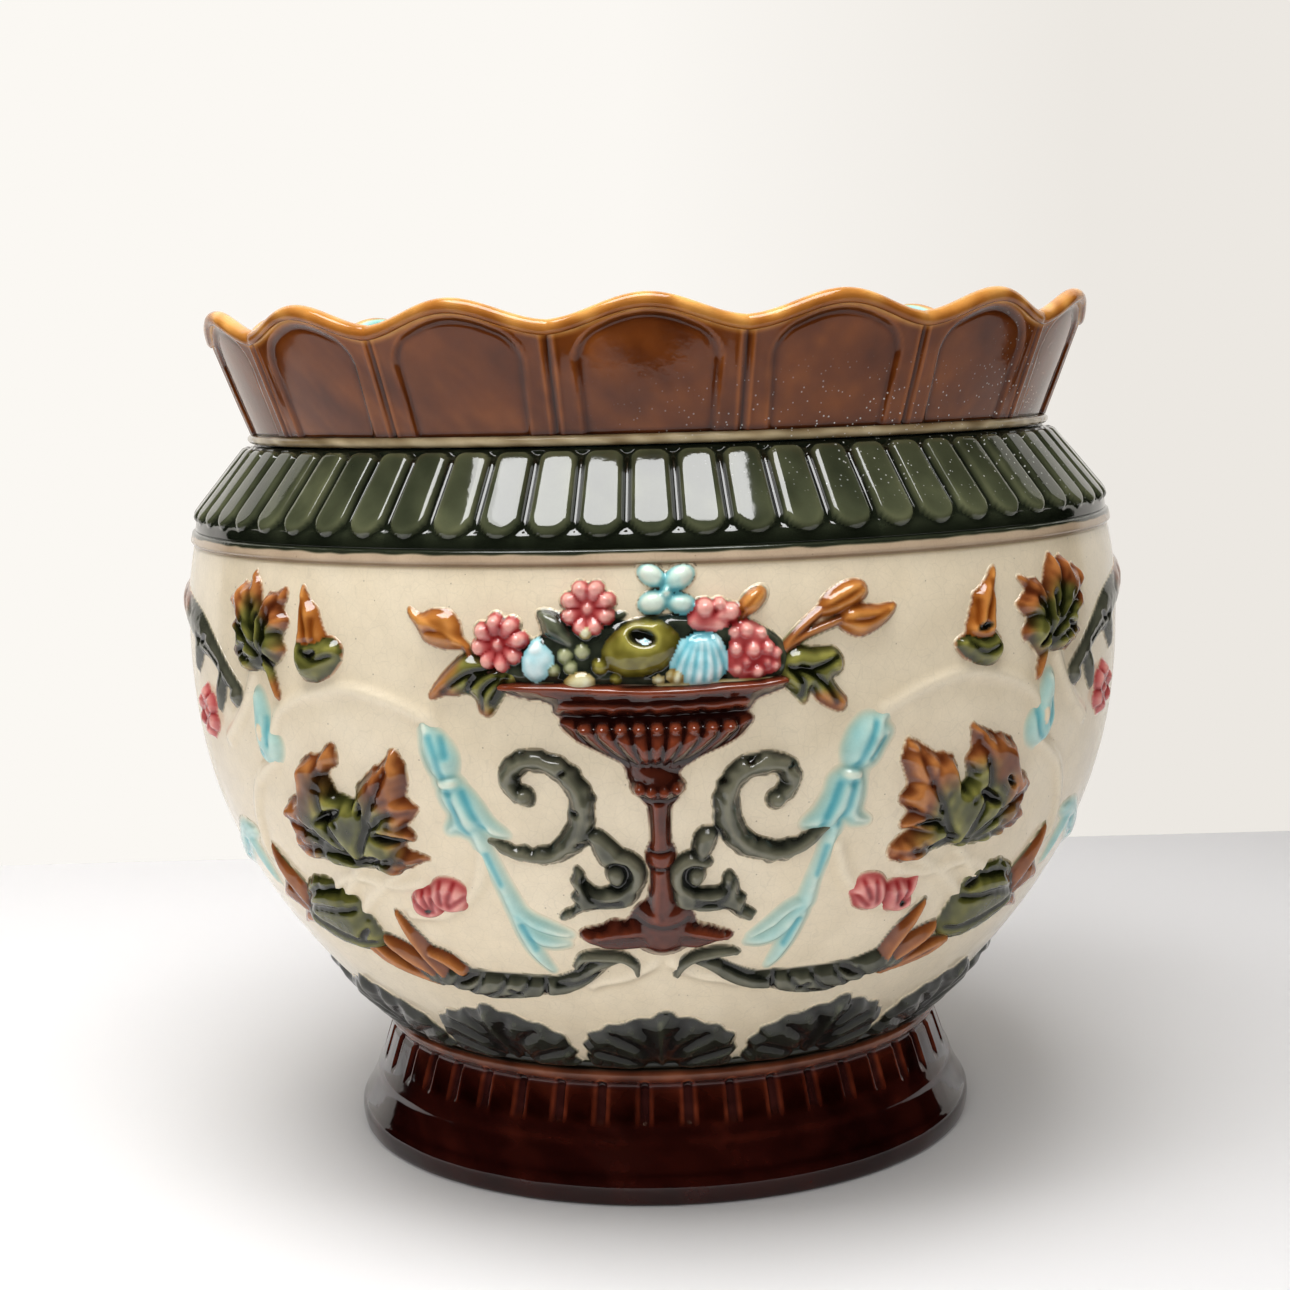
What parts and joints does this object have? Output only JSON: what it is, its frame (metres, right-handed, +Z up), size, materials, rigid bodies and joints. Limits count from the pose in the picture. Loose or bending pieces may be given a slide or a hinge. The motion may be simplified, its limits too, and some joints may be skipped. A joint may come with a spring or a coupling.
{
  "type": "jardiniere",
  "caption": "Round-bellied majolica jardiniere on a spreading fluted foot, with a gadrooned shoulder, a scalloped panelled rim and sprigged relief of a fruit tazza, scrolls, ribbons and leaves.",
  "frame": {"origin": "centre of the foot's resting plane", "axes": "+Z up along the pot's axis of revolution; -Y towards the viewer, through the middle of the front tazza; +X to the viewer's right"},
  "size_m": [0.3622, 0.3726, 0.3185],
  "materials": {
    "foot_glaze": "glossy deep brown glaze, amber where it thins",
    "body_glaze": "glossy cream glaze with a fine craze",
    "palmette_glaze": "glossy grey-green glaze, brown in the flutes",
    "shoulder_glaze": "glossy olive glaze, near black between the tongues",
    "bead_glaze": "glossy beige glaze",
    "rim_glaze": "glossy amber glaze pooled to brown in the lines, turquoise inside",
    "tazza_glaze": "glossy red-brown glaze",
    "fruit_glaze": "glossy glazes in pink, green, blue and ochre",
    "ochre_glaze": "glossy ochre glaze running to green",
    "grey_glaze": "glossy grey glaze with ochre edges",
    "turquoise_glaze": "glossy turquoise glaze, cream where it thins",
    "leaf_glaze": "glossy green glaze with ochre tips",
    "pink_glaze": "glossy pink glaze"
  },
  "bodies": {
    "root": {"foot": "foot_glaze", "bowl": "body_glaze", "palmette_band": "palmette_glaze", "shoulder": "shoulder_glaze", "neck_bead": "bead_glaze", "rim": "rim_glaze", "front_tazza": "tazza_glaze", "front_fruit_cluster": "fruit_glaze", "front_ochre_sprig_left": "ochre_glaze", "front_ochre_sprig_right": "ochre_glaze", "front_grey_scroll_left": "grey_glaze", "front_grey_scroll_right": "grey_glaze", "front_ribbon_left": "turquoise_glaze", "front_ribbon_right": "turquoise_glaze", "front_vine_leaf_left": "leaf_glaze", "front_vine_leaf_right": "leaf_glaze", "front_pink_bloom_left": "pink_glaze", "front_pink_bloom_right": "pink_glaze", "front_festoon_left": "grey_glaze", "front_festoon_right": "grey_glaze", "front_green_bud_left": "leaf_glaze", "front_green_bud_right": "leaf_glaze", "front_top_leaf_left": "leaf_glaze", "front_top_leaf_right": "leaf_glaze", "front_top_bud_left": "ochre_glaze", "front_top_bud_right": "ochre_glaze", "front_ribbon_drop_left": "turquoise_glaze", "front_ribbon_drop_right": "turquoise_glaze", "back_tazza": "tazza_glaze", "back_fruit_cluster": "fruit_glaze", "back_ochre_sprig_left": "ochre_glaze", "back_ochre_sprig_right": "ochre_glaze", "back_grey_scroll_left": "grey_glaze", "back_grey_scroll_right": "grey_glaze", "back_ribbon_left": "turquoise_glaze", "back_ribbon_right": "turquoise_glaze", "back_vine_leaf_left": "leaf_glaze", "back_vine_leaf_right": "leaf_glaze", "back_pink_bloom_left": "pink_glaze", "back_pink_bloom_right": "pink_glaze", "back_festoon_left": "grey_glaze", "back_festoon_right": "grey_glaze", "back_green_bud_left": "leaf_glaze", "back_green_bud_right": "leaf_glaze", "back_top_leaf_left": "leaf_glaze", "back_top_leaf_right": "leaf_glaze", "back_top_bud_left": "ochre_glaze", "back_top_bud_right": "ochre_glaze", "back_ribbon_drop_left": "turquoise_glaze", "back_ribbon_drop_right": "turquoise_glaze", "right_end_arch": "grey_glaze", "right_end_swag": "turquoise_glaze", "right_end_bloom_a": "pink_glaze", "right_end_bloom_b": "pink_glaze", "left_end_arch": "grey_glaze", "left_end_swag": "turquoise_glaze", "left_end_bloom_a": "pink_glaze", "left_end_bloom_b": "pink_glaze"}
  },
  "joints": []
}
